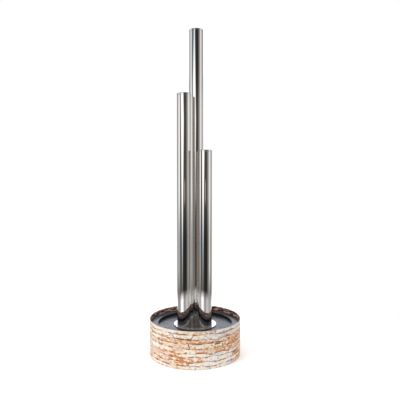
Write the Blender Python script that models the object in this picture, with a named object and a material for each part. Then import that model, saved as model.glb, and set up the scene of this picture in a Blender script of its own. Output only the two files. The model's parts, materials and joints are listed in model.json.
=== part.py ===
"""Free-standing water fountain: three polished tubes of different heights on a round steel plate.

The plate is bolted to the recessed lid of a round plastic reservoir, which stands inside a low
stone-effect sheet surround. A small submersible pump feeds a three-way manifold under the lid,
and a hose, a threaded elbow and an inner pipe take the water up to an outlet in each tube's cap.
Units are metres, +Z is up, and the origin is the centre of the surround at floor level. -Y is
the front.
"""

import math

import bmesh
import bpy
from mathutils import Matrix, Vector

# Clearance between pieces that touch, and the angle above which an edge stays sharp.
GAP = 0.0003
SHARP_ANGLE = math.radians(30)

# Surround: a strip of sheet rolled into a ring, butted and riveted to a strip behind the joint.
BAND_RADIUS = 0.207
BAND_HEIGHT = 0.162
BAND_THICKNESS = 0.001
SEAM_ANGLE = math.radians(125)
SEAM_GAP = 0.0004
STRIP_THICKNESS = 0.0015
STRIP_HALF_ANGLE = math.radians(6)
STRIP_BOTTOM = 0.003
STRIP_TOP = 0.138
RIVET_OFFSET_ANGLE = math.radians(3)
RIVET_HEIGHTS = (0.030, 0.128)
RIVET_SHANK_RADIUS = 0.0020
RIVET_HOLE_RADIUS = 0.00235
RIVET_HEAD_RADIUS = 0.0040
RIVET_HEAD_HEIGHT = 0.0014
RIVET_TAIL_RADIUS = 0.0032
RIVET_TAIL_HEIGHT = 0.0008

# Cable way: a grommet low in the back of the surround, and a notch in the basin's rim.
GROMMET_HEIGHT = 0.020
GROMMET_BORE = 0.0032
GROMMET_HOLE_RADIUS = 0.0063
NOTCH_HALF_WIDTH = 0.008
NOTCH_BOTTOM = 0.128

# Basin: a foot ring, a tapered wall and a flat rim.
FOOT_RING = (0.152, 0.182)
BASIN_UNDERSIDE = 0.003
BASIN_FLOOR = 0.006
WALL_FOOT_RADIUS = 0.186
WALL_TOP_RADIUS = 0.1965
WALL_THICKNESS = 0.003
RIM_RADIUS = 0.2039
RIM_UNDERSIDE = 0.1335
RIM_TOP = 0.139

# Lid: a flat annulus on the rim, round a recessed tray with two rows of drain holes.
LID_TOP = 0.142
TRAY_RADIUS = 0.168
TRAY_FLOOR = 0.1295
LID_THICKNESS = 0.0025
LID_UNDER = TRAY_FLOOR - LID_THICKNESS
DRAIN_ROWS = (0.125, 0.143)
DRAIN_COUNT = 16
DRAIN_RADIUS = 0.003
LEG_CIRCLE = 0.108
LEG_ANGLES = (110, 215, 325)
LEG_RADIUS = 0.009
LEG_BORE = 0.007
LEG_FOOT_RADIUS = 0.012

# Base plate, its gasket and its screws.
PLATE_RADIUS = 0.0975
PLATE_BOTTOM = 0.131
PLATE_THICKNESS = 0.002
PLATE_TOP = PLATE_BOTTOM + PLATE_THICKNESS
GASKET_RADIUS = 0.095
SCREW_CIRCLE = 0.0915
SCREW_ANGLES = (78, 198, 318)
SCREW_RADIUS = 0.0017
SCREW_HOLE_RADIUS = 0.0021

# Tubes: name, direction of the centre from the plate's centre, height of the top.
TUBE_CIRCLE = 0.0538
TUBES = (
    ("tall", math.radians(85), 1.483),
    ("middle", math.radians(205), 1.179),
    ("short", math.radians(325), 0.926),
)
TUBE_RADIUS = 0.03175
TUBE_WALL = 0.0012
CAP_BAND = 0.0085
RISER_RADIUS = 0.0080
RISER_BORE = 0.0060

# Threaded elbows, hoses and manifold. Every hose lies at one height.
THREAD_RADIUS = 0.0097
THREAD_HOLE_RADIUS = 0.0100
FLANGE_RADIUS = 0.0150
FLANGE_TOP = PLATE_TOP + GAP + 0.004
HOSE_HEIGHT = 0.100
BARB_RADIUS = 0.0047
BARB_LENGTH = 0.020
HOSE_BORE = 0.0050
HOSE_RADIUS = 0.0065
WATERWAY = 0.0036
ELBOW_LENGTH = 0.016
MANIFOLD_Y = -0.130
MANIFOLD_ENDS = (-0.064, 0.060)
OUTLET_SHOULDER_Y = -0.108
VALVE_Y = -0.1165
VALVE_RADIUS = 0.0055
VALVE_BOSS_TOP = 0.1095
CLIP_WIDTH = 0.006

# Pump: the rotor turns about a line along X, inside a motor block with a round volute at its end.
PUMP_Y = 0.100
PUMP_AXIS_Z = 0.028
MOTOR_ENDS = (0.025, 0.075)
MOTOR_HALF_WIDTH = 0.020
MOTOR_BOTTOM = 0.0105
MOTOR_TOP = 0.0455
MOTOR_EDGE = 0.004
ROTOR_BORE = 0.0095
CHAMBER_RADIUS = 0.0135
VOLUTE_RADIUS = 0.0165
VOLUTE_END = 0.097
OUTLET_X = 0.086
OUTLET_BORE = 0.006
NECK_RADIUS = 0.008
NECK_TOP = 0.046
SHAFT_RADIUS = 0.0020
SHAFT_HOLE_RADIUS = 0.0023
INTAKE_COUNT = 6
INTAKE_CIRCLE = 0.009
INTAKE_RADIUS = 0.0022
FOOT_X = (0.033, 0.067)
FOOT_OFFSET_Y = 0.014
FOOT_PIN_RADIUS = 0.0022
FOOT_SOCKET_RADIUS = 0.0025
GLAND_OFFSET = 0.008
GLAND_PLUG_RADIUS = 0.0035
GLAND_SOCKET_RADIUS = 0.0038
MAGNET_ENDS = (0.037, 0.067)
MAGNET_RADIUS = 0.0087
IMPELLER_RADIUS = 0.0125
BLADE_COUNT = 6
DIAL_RADIUS = 0.0135
DIAL_THICKNESS = 0.002


# --- helpers -----------------------------------------------------------------------------------


def clear_scene():
    for obj in list(bpy.data.objects):
        bpy.data.objects.remove(obj, do_unlink=True)


def make_material(name, colour, roughness, metallic=0.0):
    material = bpy.data.materials.new(name)
    material.use_nodes = True
    shader = material.node_tree.nodes["Principled BSDF"]
    shader.inputs["Base Color"].default_value = (*colour, 1.0)
    shader.inputs["Roughness"].default_value = roughness
    shader.inputs["Metallic"].default_value = metallic
    material.diffuse_color = (*colour, 1.0)
    return material


def finish_object(name, bm, material=None):
    """Turn a bmesh into a linked object with outward faces, smooth except at sharp edges."""
    bmesh.ops.recalc_face_normals(bm, faces=bm.faces[:])
    mesh = bpy.data.meshes.new(name)
    bm.to_mesh(mesh)
    bm.free()
    mesh.shade_smooth()
    mesh.set_sharp_from_angle(angle=SHARP_ANGLE)
    obj = bpy.data.objects.new(name, mesh)
    bpy.context.scene.collection.objects.link(obj)
    if material:
        mesh.materials.append(material)
    return obj


def turned(name, profile, steps, material=None, closed=True):
    """Turn a profile of (radius, height) about Z. An open one starts and ends on the axis."""
    bm = bmesh.new()
    points = [bm.verts.new((radius, 0.0, height)) for radius, height in profile]
    pairs = list(zip(points, points[1:]))
    if closed:
        pairs.append((points[-1], points[0]))
    edges = [bm.edges.new(pair) for pair in pairs]
    bmesh.ops.spin(
        bm, geom=points + edges, cent=(0, 0, 0), axis=(0, 0, 1), angle=math.tau, steps=steps
    )
    bmesh.ops.remove_doubles(bm, verts=bm.verts[:], dist=1e-6)
    return finish_object(name, bm, material)


def rod(name, start, end, radius, steps=24, material=None):
    """Solid round bar between two points."""
    start, end = Vector(start), Vector(end)
    along = end - start
    turn = along.to_track_quat("Z", "Y").to_matrix().to_4x4()
    bm = bmesh.new()
    bmesh.ops.create_cone(
        bm,
        cap_ends=True,
        segments=steps,
        radius1=radius,
        radius2=radius,
        depth=along.length,
        matrix=Matrix.Translation((start + end) / 2) @ turn,
    )
    return finish_object(name, bm, material)


def block(name, low, high, bevel=0.0, material=None):
    """Box between two corners, with its edges rounded when a bevel is given."""
    low, high = Vector(low), Vector(high)
    size = high - low
    bm = bmesh.new()
    bmesh.ops.create_cube(
        bm, size=1.0, matrix=Matrix.Translation((low + high) / 2) @ Matrix.Diagonal((*size, 1.0))
    )
    if bevel:
        bmesh.ops.bevel(
            bm, geom=bm.edges[:], offset=bevel, segments=2, profile=0.5, affect="EDGES"
        )
    return finish_object(name, bm, material)


def outlined_ring(name, bore, outline, low, high, steps, material=None):
    """Flat ring with a round bore, whose outer radius is given by a function of the angle."""
    bm = bmesh.new()
    loops = []
    for radius_at, height in ((outline, low), (outline, high), (None, high), (None, low)):
        loop = []
        for i in range(steps):
            angle = math.tau * i / steps
            radius = radius_at(angle) if radius_at else bore
            loop.append(bm.verts.new((radius * math.cos(angle), radius * math.sin(angle), height)))
        loops.append(loop)
    for first, second in zip(loops, loops[1:] + loops[:1]):
        for i in range(steps):
            j = (i + 1) % steps
            bm.faces.new((first[i], first[j], second[j], second[i]))
    return finish_object(name, bm, material)


def smooth_route(points, samples=5):
    """Points along a Catmull-Rom curve through the given ones, with straight first and last runs."""
    points = [Vector(point) for point in points]
    ends = [2 * points[0] - points[1], *points, 2 * points[-1] - points[-2]]
    route = [points[0]]
    for a, b, c, d in zip(ends, ends[1:], ends[2:], ends[3:]):
        for i in range(1, samples + 1):
            t = i / samples
            route.append(
                0.5
                * (2 * b + (c - a) * t + (2 * a - 5 * b + 4 * c - d) * t**2 + (3 * b - a - 3 * c + d) * t**3)
            )
    return route


def swept_hose(name, route, bore, radius, sides, material):
    """Hollow hose along a list of points."""
    bm = bmesh.new()
    tangent = (route[1] - route[0]).normalized()
    side = tangent.orthogonal().normalized()
    rings = []
    for i, point in enumerate(route):
        ahead = route[min(i + 1, len(route) - 1)] - route[max(i - 1, 0)]
        turn = tangent.rotation_difference(ahead.normalized())
        tangent = ahead.normalized()
        side = turn @ side
        up = tangent.cross(side)
        ring = []
        for wall in (radius, bore):
            for k in range(sides):
                angle = math.tau * k / sides
                offset = (side * math.cos(angle) + up * math.sin(angle)) * wall
                ring.append(bm.verts.new(point + offset))
        rings.append(ring)
    for first, second in zip(rings, rings[1:]):
        for base in (0, sides):
            for k in range(sides):
                j = base + (k + 1) % sides
                bm.faces.new((first[base + k], first[j], second[j], second[base + k]))
    for ring in (rings[0], rings[-1]):
        for k in range(sides):
            j = (k + 1) % sides
            bm.faces.new((ring[k], ring[j], ring[sides + j], ring[sides + k]))
    return finish_object(name, bm, material)


def as_helper(obj):
    obj.hide_render = True
    obj.display_type = "WIRE"
    return obj


def combine(obj, helper, operation):
    modifier = obj.modifiers.new(helper.name, "BOOLEAN")
    modifier.operation = operation
    modifier.solver = "EXACT"
    modifier.object = as_helper(helper)


def cut(obj, *helpers):
    for helper in helpers:
        combine(obj, helper, "DIFFERENCE")


def fuse(obj, *helpers):
    for helper in helpers:
        combine(obj, helper, "UNION")


def joint_empty(name, location, parent=None):
    """Empty on a joint's axis, which carries the pieces that move with it."""
    empty = bpy.data.objects.new(name, None)
    bpy.context.scene.collection.objects.link(empty)
    empty.location = location
    empty.empty_display_size = 0.02
    if parent:
        attach(empty, parent)
    return empty


def attach(obj, empty):
    obj.parent = empty
    obj.matrix_parent_inverse = Matrix.Translation(empty.location).inverted()


def polar(radius, angle, height=0.0):
    return Vector((radius * math.cos(angle), radius * math.sin(angle), height))


def tube_centre(angle):
    return polar(TUBE_CIRCLE, angle)


def many_rods(name, centres, radius, low, high, steps):
    """One helper made of equal upright rods, for rows of holes."""
    bm = bmesh.new()
    for centre in centres:
        place = Matrix.Translation((centre.x, centre.y, (low + high) / 2))
        bmesh.ops.create_cone(
            bm, cap_ends=True, segments=steps, radius1=radius, radius2=radius, depth=high - low, matrix=place
        )
    return finish_object(name, bm)


# --- reservoir ---------------------------------------------------------------------------------


def arc_sheet(name, inner, outer, start, end, low, high, steps, material):
    """Curved sheet between two radii, two angles and two heights."""
    bm = bmesh.new()
    sections = []
    for i in range(steps + 1):
        angle = start + (end - start) * i / steps
        corners = ((inner, low), (outer, low), (outer, high), (inner, high))
        sections.append([bm.verts.new(polar(radius, angle, height)) for radius, height in corners])
    for first, second in zip(sections, sections[1:]):
        for k in range(4):
            bm.faces.new((first[k], first[(k + 1) % 4], second[(k + 1) % 4], second[k]))
    bm.faces.new(sections[0])
    bm.faces.new(sections[-1])
    return finish_object(name, bm, material)


def rivet_places():
    for height in RIVET_HEIGHTS:
        for side in (-1, 1):
            yield SEAM_ANGLE + side * RIVET_OFFSET_ANGLE, height


def rivet_holes(name):
    bm = bmesh.new()
    for angle, height in rivet_places():
        place = Matrix.Translation(polar(BAND_RADIUS, angle, height))
        turn = Matrix.Rotation(angle, 4, "Z") @ Matrix.Rotation(math.pi / 2, 4, "Y")
        bmesh.ops.create_cone(
            bm,
            cap_ends=True,
            segments=12,
            radius1=RIVET_HOLE_RADIUS,
            radius2=RIVET_HOLE_RADIUS,
            depth=0.02,
            matrix=place @ turn,
        )
    return finish_object(name, bm)


def build_surround(materials):
    inner = BAND_RADIUS - BAND_THICKNESS
    half_gap = SEAM_GAP / 2 / BAND_RADIUS
    band = arc_sheet(
        "surround_band",
        inner,
        BAND_RADIUS,
        SEAM_ANGLE + half_gap,
        SEAM_ANGLE + math.tau - half_gap,
        0.0,
        BAND_HEIGHT,
        72,
        materials["stone_effect_sheet"],
    )
    hole_ends = ((0, BAND_RADIUS - 0.01, GROMMET_HEIGHT), (0, BAND_RADIUS + 0.01, GROMMET_HEIGHT))
    cut(band, rivet_holes("band_rivet_holes"), rod("grommet_hole", *hole_ends, GROMMET_HOLE_RADIUS, 16))

    strip_outer = inner - GAP
    strip_inner = strip_outer - STRIP_THICKNESS
    strip = arc_sheet(
        "seam_strip",
        strip_inner,
        strip_outer,
        SEAM_ANGLE - STRIP_HALF_ANGLE,
        SEAM_ANGLE + STRIP_HALF_ANGLE,
        STRIP_BOTTOM,
        STRIP_TOP,
        6,
        materials["galvanised_strip"],
    )
    cut(strip, rivet_holes("strip_rivet_holes"))

    # Rivet: a domed head outside, a flat formed head inside. Heights run outwards along its axis.
    head_start = BAND_RADIUS + GAP
    tail_end = strip_inner - GAP
    profile = [
        (0.0, head_start + RIVET_HEAD_HEIGHT),
        (0.0022, head_start + 0.0012),
        (RIVET_HEAD_RADIUS, head_start + 0.0003),
        (RIVET_HEAD_RADIUS, head_start),
        (RIVET_SHANK_RADIUS, head_start),
        (RIVET_SHANK_RADIUS, tail_end),
        (RIVET_TAIL_RADIUS, tail_end),
        (0.0030, tail_end - RIVET_TAIL_HEIGHT),
        (0.0, tail_end - RIVET_TAIL_HEIGHT),
    ]
    for number, (angle, height) in enumerate(rivet_places(), start=1):
        rivet = turned(f"seam_rivet_{number}", profile, 8, materials["rivet_steel"], closed=False)
        rivet.location = (0, 0, height)
        rivet.rotation_euler = (0, math.pi / 2, angle)

    # Grommet: a flange on each side of the sheet, with a groove between them.
    grommet_profile = [
        (GROMMET_BORE, BAND_RADIUS + 0.0024),
        (0.0050, BAND_RADIUS + 0.0030),
        (0.0082, BAND_RADIUS + 0.0020),
        (0.0090, BAND_RADIUS + 0.0012),
        (0.0090, BAND_RADIUS + 0.0005),
        (0.0060, BAND_RADIUS + 0.0005),
        (0.0060, inner - 0.0006),
        (0.0085, inner - 0.0006),
        (0.0085, inner - 0.0026),
        (GROMMET_BORE, inner - 0.0026),
    ]
    grommet = turned("cable_grommet", grommet_profile, 12, materials["black_rubber"])
    grommet.location = (0, 0, GROMMET_HEIGHT)
    grommet.rotation_euler = (-math.pi / 2, 0, 0)


def build_basin(materials):
    foot_inner, foot_outer = FOOT_RING
    profile = [
        (0.0, BASIN_UNDERSIDE),
        (foot_inner - 0.002, BASIN_UNDERSIDE),
        (foot_inner, 0.0),
        (foot_outer, 0.0),
        (WALL_FOOT_RADIUS, 0.004),
        (WALL_TOP_RADIUS, RIM_UNDERSIDE),
        (RIM_RADIUS, RIM_UNDERSIDE),
        (RIM_RADIUS, RIM_TOP),
        (WALL_TOP_RADIUS - WALL_THICKNESS + 0.0005, RIM_TOP),
        (WALL_TOP_RADIUS - WALL_THICKNESS, RIM_TOP - 0.0015),
        (WALL_FOOT_RADIUS - WALL_THICKNESS, BASIN_FLOOR + 0.0025),
        (WALL_FOOT_RADIUS - 2 * WALL_THICKNESS, BASIN_FLOOR),
        (0.0, BASIN_FLOOR),
    ]
    basin = turned("basin", profile[::-1], 48, materials["black_tub_plastic"], closed=False)
    notch = block(
        "rim_notch", (-NOTCH_HALF_WIDTH, 0.185, NOTCH_BOTTOM), (NOTCH_HALF_WIDTH, 0.215, RIM_TOP + 0.01)
    )
    cut(basin, notch)


def build_pump(materials):
    axis = (PUMP_Y, PUMP_AXIS_Z)
    body = block(
        "pump_body",
        (MOTOR_ENDS[0], PUMP_Y - MOTOR_HALF_WIDTH, MOTOR_BOTTOM),
        (MOTOR_ENDS[1], PUMP_Y + MOTOR_HALF_WIDTH, MOTOR_TOP),
        MOTOR_EDGE,
        materials["pump_plastic"],
    )
    fuse(
        body,
        rod("volute", (0.070, *axis), (VOLUTE_END, *axis), VOLUTE_RADIUS, 24),
        rod("outlet_neck", (OUTLET_X, PUMP_Y, 0.034), (OUTLET_X, PUMP_Y, NECK_TOP), NECK_RADIUS, 24),
    )
    foot_places = [(x, PUMP_Y + side * FOOT_OFFSET_Y) for x in FOOT_X for side in (-1, 1)]
    foot_centres = [Vector((x, y, 0)) for x, y in foot_places]
    gland_axis = (PUMP_Y + GLAND_OFFSET, PUMP_AXIS_Z + GLAND_OFFSET)
    above_neck = (OUTLET_X, PUMP_Y, NECK_TOP + 0.005)
    cut(
        body,
        rod("rotor_bore", (0.032, *axis), (0.080, *axis), ROTOR_BORE, 20),
        rod("impeller_chamber", (0.072, *axis), (VOLUTE_END + 0.005, *axis), CHAMBER_RADIUS, 24),
        rod("shaft_socket", (0.0285, *axis), (0.036, *axis), SHAFT_HOLE_RADIUS, 16),
        rod("outlet_bore", (OUTLET_X, PUMP_Y, PUMP_AXIS_Z), above_neck, OUTLET_BORE, 20),
        rod("gland_socket", (0.015, *gland_axis), (0.030, *gland_axis), GLAND_SOCKET_RADIUS, 16),
        many_rods("foot_sockets", foot_centres, FOOT_SOCKET_RADIUS, 0.005, 0.0145, 12),
    )

    # Outlet barb, screwed into the neck.
    barb_profile = [
        (0.0030, NECK_TOP - 0.003),
        (0.0057, NECK_TOP - 0.003),
        (0.0057, NECK_TOP + GAP),
        (NECK_RADIUS, NECK_TOP + GAP),
        (NECK_RADIUS, NECK_TOP + GAP + 0.002),
        (BARB_RADIUS, NECK_TOP + GAP + 0.002),
        (BARB_RADIUS, 0.060),
        (0.0040, 0.064),
        (0.0030, 0.064),
    ]
    barb = turned("pump_outlet_barb", barb_profile, 14, materials["pump_plastic"])
    barb.location = (OUTLET_X, PUMP_Y, 0)

    rod("rotor_shaft", (0.0290, *axis), (0.0950, *axis), SHAFT_RADIUS, 16, materials["white_ceramic"])

    # Intake cover over the impeller chamber: a disc with holes, a socket for the shaft, a stub.
    cover = rod(
        "pump_intake_cover",
        (VOLUTE_END + GAP, *axis),
        (VOLUTE_END + 0.003, *axis),
        VOLUTE_RADIUS,
        24,
        materials["pump_plastic"],
    )
    fuse(
        cover,
        rod("shaft_boss", (0.0905, *axis), (VOLUTE_END + 0.001, *axis), 0.0036, 16),
        rod("dial_stub", (VOLUTE_END + 0.001, *axis), (0.1045, *axis), 0.0030, 16),
    )
    cut(
        cover,
        rod("shaft_seat", (0.088, *axis), (0.0955, *axis), SHAFT_HOLE_RADIUS, 16),
        ring_of_holes("cover_intakes", VOLUTE_END - 0.005, VOLUTE_END + 0.008),
    )

    for number, (x, y) in enumerate(foot_places, start=1):
        foot_profile = [
            (0.0, 0.0140),
            (FOOT_PIN_RADIUS, 0.0140),
            (FOOT_PIN_RADIUS, MOTOR_BOTTOM - GAP),
            (0.0040, MOTOR_BOTTOM - GAP),
            (0.0075, BASIN_FLOOR + 0.0009),
            (0.0075, BASIN_FLOOR + GAP),
            (0.0062, BASIN_FLOOR + GAP),
            (0.0, BASIN_FLOOR + 0.0022),
        ]
        foot = turned(f"pump_foot_{number}", foot_profile, 10, materials["black_rubber"], closed=False)
        foot.location = (x, y, 0)

    # Cable gland: a plug in the motor's end wall with a tapering sleeve. Heights run along -X.
    collar_end = GAP - MOTOR_ENDS[0]
    gland_profile = [
        (0.0028, -0.0120),
        (0.0040, -0.0120),
        (0.0052, -0.0215),
        (0.0062, -0.0217),
        (0.0062, collar_end),
        (GLAND_PLUG_RADIUS, collar_end),
        (GLAND_PLUG_RADIUS, -0.0297),
        (0.0028, -0.0297),
    ]
    gland = turned("pump_cable_gland", gland_profile, 10, materials["black_rubber"])
    gland.location = (0, *gland_axis)
    gland.rotation_euler = (0, -math.pi / 2, 0)


def ring_of_holes(name, low, high):
    """Helper rods along X round the pump's axis, for the intake holes."""
    bm = bmesh.new()
    for i in range(INTAKE_COUNT):
        angle = math.tau * i / INTAKE_COUNT
        y = PUMP_Y + INTAKE_CIRCLE * math.cos(angle)
        z = PUMP_AXIS_Z + INTAKE_CIRCLE * math.sin(angle)
        place = Matrix.Translation(((low + high) / 2, y, z)) @ Matrix.Rotation(math.pi / 2, 4, "Y")
        bmesh.ops.create_cone(
            bm,
            cap_ends=True,
            segments=8,
            radius1=INTAKE_RADIUS,
            radius2=INTAKE_RADIUS,
            depth=high - low,
            matrix=place,
        )
    return finish_object(name, bm)


def build_rotor(materials):
    axis = (PUMP_Y, PUMP_AXIS_Z)
    empty = joint_empty("impeller_axis", (0.080, *axis))

    start, end = MAGNET_ENDS
    magnet_profile = [
        (SHAFT_HOLE_RADIUS, start),
        (0.0080, start),
        (MAGNET_RADIUS, start + 0.001),
        (MAGNET_RADIUS, end - 0.001),
        (0.0080, end),
        (SHAFT_HOLE_RADIUS, end),
    ]
    magnet = turned("rotor_magnet", magnet_profile, 16, materials["magnet_grey"])
    magnet.location = (0, *axis)
    magnet.rotation_euler = (0, math.pi / 2, 0)
    attach(magnet, empty)

    # Impeller: a back disc, a hub and straight blades.
    disc_face = 0.0755
    blade_end = 0.0850
    impeller = rod(
        "impeller", (0.074, *axis), (disc_face, *axis), IMPELLER_RADIUS, 24, materials["impeller_plastic"]
    )
    fuse(
        impeller,
        rod("impeller_hub", (0.0673, *axis), (0.0870, *axis), 0.0042, 16),
        impeller_blades("impeller_blades", disc_face - 0.0005, blade_end),
    )
    cut(impeller, rod("impeller_bore", (0.060, *axis), (0.095, *axis), SHAFT_HOLE_RADIUS, 16))
    attach(impeller, empty)


def impeller_blades(name, low, high):
    bm = bmesh.new()
    blade_start, blade_tip, half_thickness = 0.0035, 0.0122, 0.0007
    length = blade_tip - blade_start
    for i in range(BLADE_COUNT):
        turn = Matrix.Rotation(math.tau * i / BLADE_COUNT, 4, "X")
        shape = Matrix.Diagonal((high - low, length, 2 * half_thickness, 1.0))
        offset = Matrix.Translation((0, blade_start + length / 2, 0))
        place = Matrix.Translation(((low + high) / 2, PUMP_Y, PUMP_AXIS_Z))
        bmesh.ops.create_cube(bm, size=1.0, matrix=place @ turn @ offset @ shape)
    return finish_object(name, bm)


def build_flow_dial(materials):
    axis = (PUMP_Y, PUMP_AXIS_Z)
    low = VOLUTE_END + 0.0033
    high = low + DIAL_THICKNESS
    empty = joint_empty("flow_dial_axis", (low, *axis))
    dial = rod("flow_dial", (low, *axis), (high, *axis), DIAL_RADIUS, 24, materials["dial_blue"])
    tab_low = (low, PUMP_Y - 0.0025, PUMP_AXIS_Z + 0.012)
    tab_high = (high + 0.002, PUMP_Y + 0.0025, PUMP_AXIS_Z + 0.018)
    fuse(dial, block("dial_tab", tab_low, tab_high))
    cut(
        dial,
        rod("dial_bore", (low - 0.01, *axis), (high + 0.01, *axis), 0.0033, 16),
        ring_of_holes("dial_intakes", low - 0.005, high + 0.005),
    )
    attach(dial, empty)


# --- lid and fountain head ---------------------------------------------------------------------


def plate_screw_centres():
    return [polar(SCREW_CIRCLE, math.radians(angle)) for angle in SCREW_ANGLES]


def spigot_centres():
    return [tube_centre(angle) for _, angle, _ in TUBES]


def build_lid(materials, body):
    profile = [
        (0.0, TRAY_FLOOR),
        (TRAY_RADIUS - 0.0025, TRAY_FLOOR),
        (TRAY_RADIUS - 0.0015, TRAY_FLOOR + 0.0005),
        (TRAY_RADIUS, LID_TOP - 0.0015),
        (TRAY_RADIUS + 0.0010, LID_TOP),
        (RIM_RADIUS - 0.0014, LID_TOP),
        (RIM_RADIUS, LID_TOP - 0.0012),
        (RIM_RADIUS, RIM_TOP + GAP),
        (0.1922, RIM_TOP + GAP),
        (0.1917, 0.1345),
        (0.1895, 0.1345),
        (0.1892, RIM_TOP + GAP),
        (TRAY_RADIUS + 0.0036, RIM_TOP + GAP),
        (TRAY_RADIUS + 0.0026, RIM_TOP - 0.001),
        (TRAY_RADIUS + 0.0010, LID_UNDER + 0.0005),
        (TRAY_RADIUS - 0.0005, LID_UNDER),
        (0.0, LID_UNDER),
    ]
    lid = turned("reservoir_lid", profile, 40, materials["lid_plastic"], closed=False)
    drains = []
    for radius in DRAIN_ROWS:
        drains += [polar(radius, math.tau * i / DRAIN_COUNT) for i in range(DRAIN_COUNT)]
    low, high = LID_UNDER - 0.01, LID_TOP + 0.01
    cut(
        lid,
        many_rods("drain_holes", drains, DRAIN_RADIUS, low, high, 6),
        many_rods("lid_thread_holes", spigot_centres(), THREAD_HOLE_RADIUS, low, high, 16),
        many_rods("lid_screw_holes", plate_screw_centres(), SCREW_HOLE_RADIUS, low, high, 8),
    )
    attach(lid, body)

    leg_top = LID_UNDER - GAP
    leg_bottom = BASIN_FLOOR + GAP
    leg_profile = [
        (0.0, leg_top),
        (LEG_RADIUS, leg_top),
        (LEG_RADIUS, leg_bottom + 0.003),
        (LEG_FOOT_RADIUS, leg_bottom + 0.003),
        (LEG_FOOT_RADIUS, leg_bottom),
        (LEG_BORE, leg_bottom),
        (LEG_BORE, leg_top - 0.003),
        (0.0, leg_top - 0.003),
    ]
    for number, angle in enumerate(LEG_ANGLES, start=1):
        leg = turned(f"lid_leg_{number}", leg_profile, 12, materials["black_tub_plastic"], closed=False)
        leg.location = polar(LEG_CIRCLE, math.radians(angle))
        attach(leg, body)


def build_plate(materials, body):
    gasket_low = TRAY_FLOOR + GAP
    gasket_high = PLATE_BOTTOM - GAP
    pieces = (
        ("base_gasket", gasket_low, gasket_high, GASKET_RADIUS, 0.0, "black_rubber"),
        ("base_plate", PLATE_BOTTOM, PLATE_TOP, PLATE_RADIUS, 0.0005, "polished_steel"),
    )
    for name, low, high, radius, edge, slot in pieces:
        profile = [(0.0, high), (radius - edge, high), (radius, high - edge), (radius, low), (0.0, low)]
        if not edge:
            profile.pop(1)
        disc = turned(name, profile, 48, materials[slot], closed=False)
        cut(
            disc,
            many_rods(f"{name}_thread_holes", spigot_centres(), THREAD_HOLE_RADIUS, 0.12, 0.15, 16),
            many_rods(f"{name}_screw_holes", plate_screw_centres(), SCREW_HOLE_RADIUS, 0.12, 0.15, 8),
        )
        attach(disc, body)

    # Pan-head screws: plate to lid.
    head = PLATE_TOP + GAP
    screw_profile = [
        (0.0, head + 0.0019),
        (0.0020, head + 0.0016),
        (0.0033, head + 0.0006),
        (0.0033, head),
        (SCREW_RADIUS, head),
        (SCREW_RADIUS, 0.1245),
        (0.0, 0.1230),
    ]
    for number, centre in enumerate(plate_screw_centres(), start=1):
        screw = turned(f"plate_screw_{number}", screw_profile, 10, materials["rivet_steel"], closed=False)
        screw.location = centre
        attach(screw, body)


def build_tube(materials, body, name, angle, top):
    """Outer tube, its cap, the pipe inside, the threaded elbow and its nut."""
    centre = tube_centre(angle)
    inner = TUBE_RADIUS - TUBE_WALL
    low = PLATE_TOP + GAP
    joint = top - CAP_BAND
    tube_profile = [
        (inner, low),
        (inner, joint - GAP),
        (TUBE_RADIUS, joint - GAP),
        (TUBE_RADIUS, low),
    ]
    tube = turned(f"{name}_tube", tube_profile, 32, materials["polished_steel"])

    skirt = inner - GAP
    hole = RISER_RADIUS + GAP
    collar = hole + 0.0022
    cap_profile = [
        (hole, top),
        (TUBE_RADIUS - 0.0030, top - 0.0003),
        (TUBE_RADIUS - 0.0010, top - 0.0010),
        (TUBE_RADIUS, top - 0.0024),
        (TUBE_RADIUS, joint),
        (skirt, joint),
        (skirt, joint - 0.0195),
        (skirt - 0.0012, joint - 0.0195),
        (skirt - 0.0012, top - 0.0030),
        (collar, top - 0.0030),
        (collar, top - 0.0200),
        (hole, top - 0.0200),
    ]
    cap = turned(f"{name}_cap", cap_profile, 32, materials["polished_steel"])

    riser_low = FLANGE_TOP + GAP
    riser_high = top - 0.004
    riser_profile = [
        (RISER_BORE, riser_low),
        (RISER_BORE, riser_high),
        (RISER_RADIUS, riser_high),
        (RISER_RADIUS, riser_low),
    ]
    riser = turned(f"{name}_riser", riser_profile, 12, materials["pipe_plastic"])

    for piece in (tube, cap, riser):
        piece.location = centre
        attach(piece, body)
    build_elbow(materials, body, name, centre)


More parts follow.
